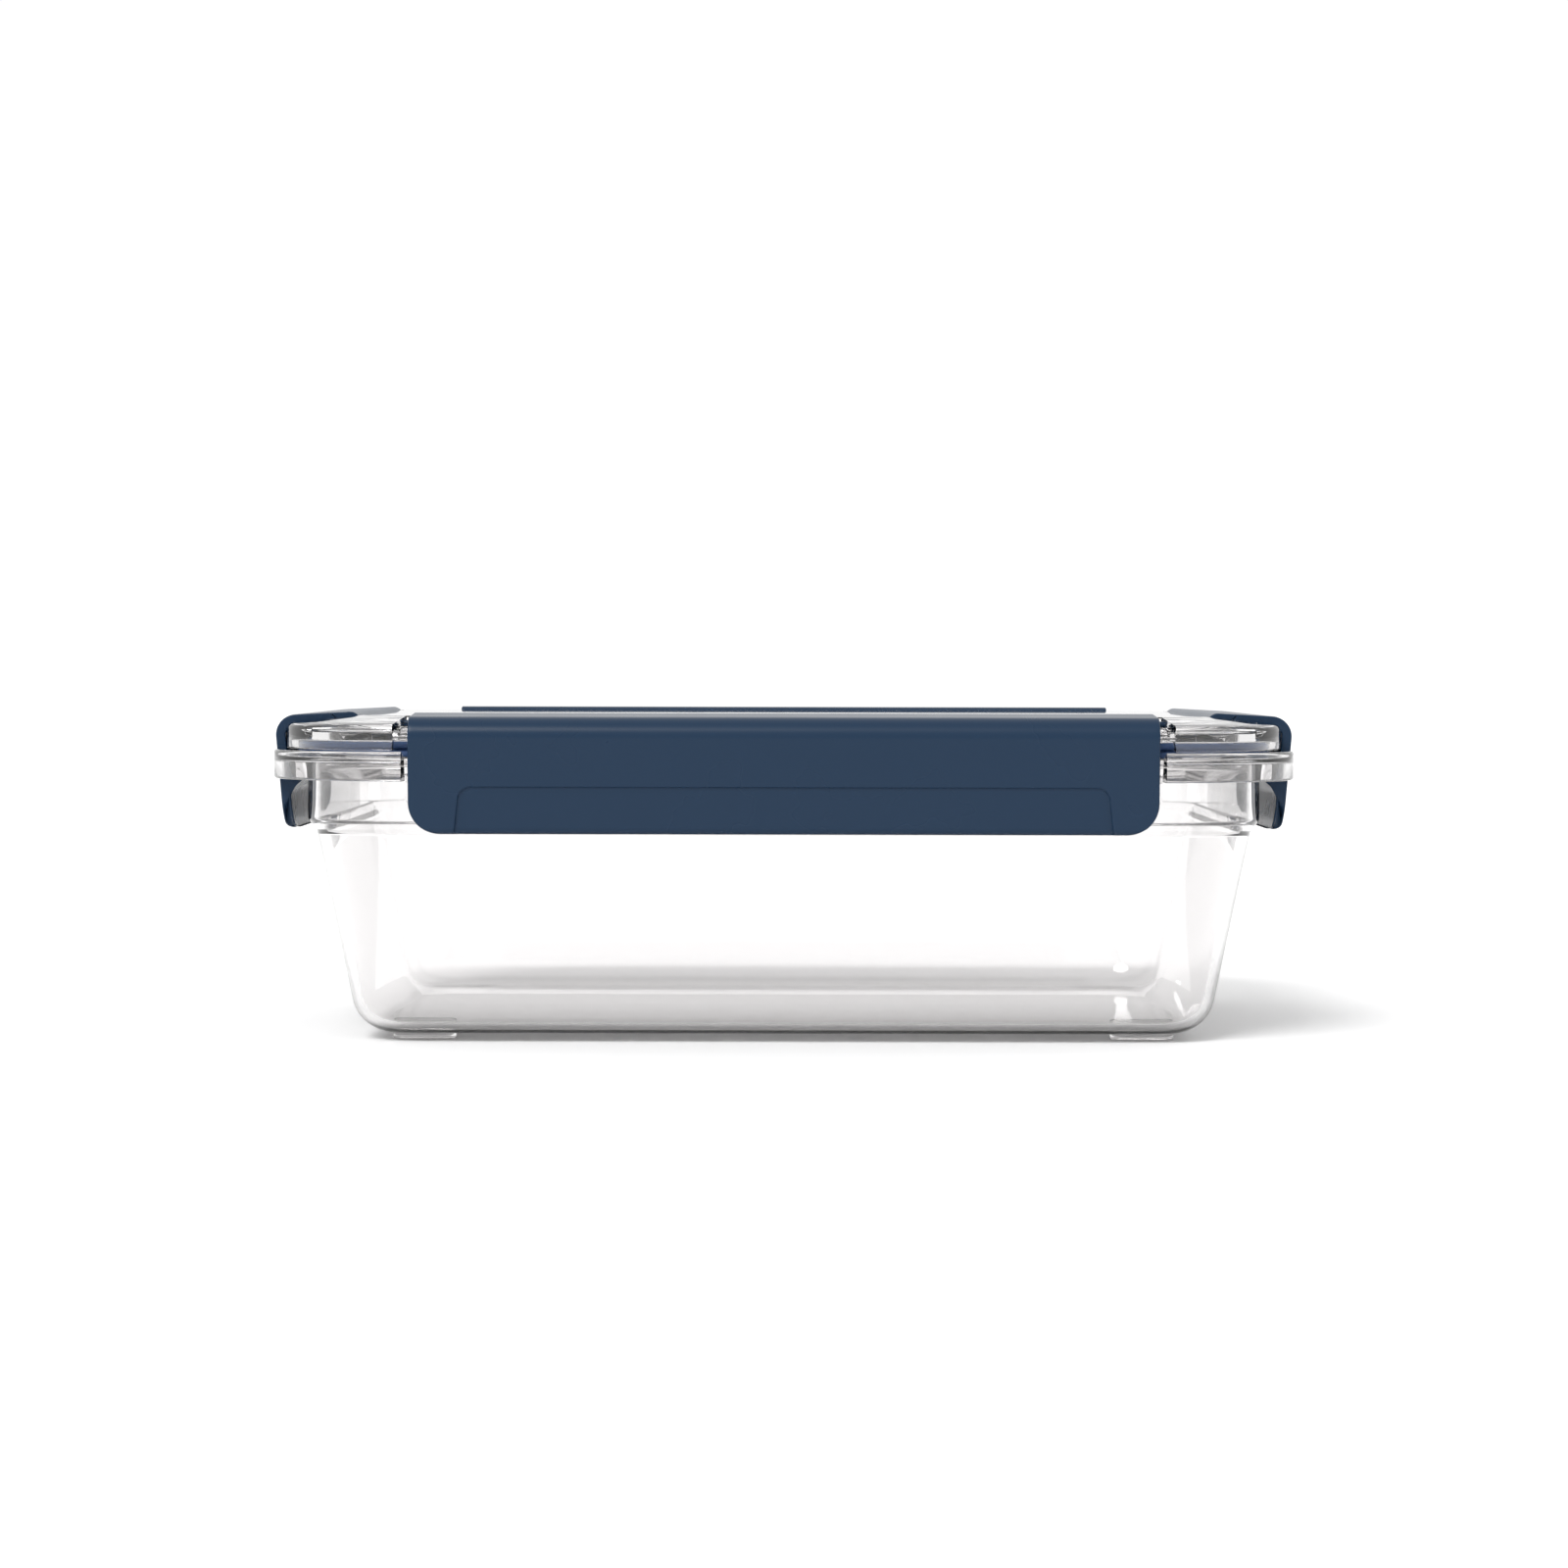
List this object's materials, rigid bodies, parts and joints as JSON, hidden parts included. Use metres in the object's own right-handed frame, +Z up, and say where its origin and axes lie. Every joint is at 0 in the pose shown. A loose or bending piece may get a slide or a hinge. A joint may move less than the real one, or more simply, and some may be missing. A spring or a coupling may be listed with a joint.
{
  "type": "snap lid food container",
  "caption": "Clear rectangular food box with a clear lid, a dark seal ring and dark hinged latches that hook under its rim.",
  "frame": {"origin": "centre of the footprint, on the surface the feet stand on", "axes": "+X along the long side, -Y towards the front latch, +Z up"},
  "size_m": [0.2506, 0.18, 0.0804],
  "materials": {
    "clear_tub": "gloss",
    "clear_lid": "gloss",
    "navy_rubber": "satin",
    "navy_plastic": "satin"
  },
  "bodies": {
    "tub": {"tub": "clear_tub"},
    "lid": {"lid": "clear_lid", "gasket": "navy_rubber"},
    "front_latch": {"front_latch": "navy_plastic"},
    "back_latch": {"back_latch": "navy_plastic"},
    "left_latch": {"left_latch": "navy_plastic"},
    "right_latch": {"right_latch": "navy_plastic"}
  },
  "joints": [
    {"name": "lid_lift", "type": "slide", "parent": "tub", "child": "lid", "axis": [0, 0, 1], "range_m": [0, 0.08]},
    {"name": "front_latch_hinge", "type": "hinge", "parent": "lid", "child": "front_latch", "pos_m": [0, -0.0714, 0.0778], "axis": [-1, 0, 0], "range_deg": [0, 95]},
    {"name": "back_latch_hinge", "type": "hinge", "parent": "lid", "child": "back_latch", "pos_m": [0, 0.0714, 0.0778], "axis": [1, 0, 0], "range_deg": [0, 95]},
    {"name": "left_latch_hinge", "type": "hinge", "parent": "lid", "child": "left_latch", "pos_m": [-0.1068, 0, 0.0778], "axis": [0, 1, 0], "range_deg": [0, 95]},
    {"name": "right_latch_hinge", "type": "hinge", "parent": "lid", "child": "right_latch", "pos_m": [0.1068, 0, 0.0778], "axis": [0, -1, 0], "range_deg": [0, 95]}
  ]
}
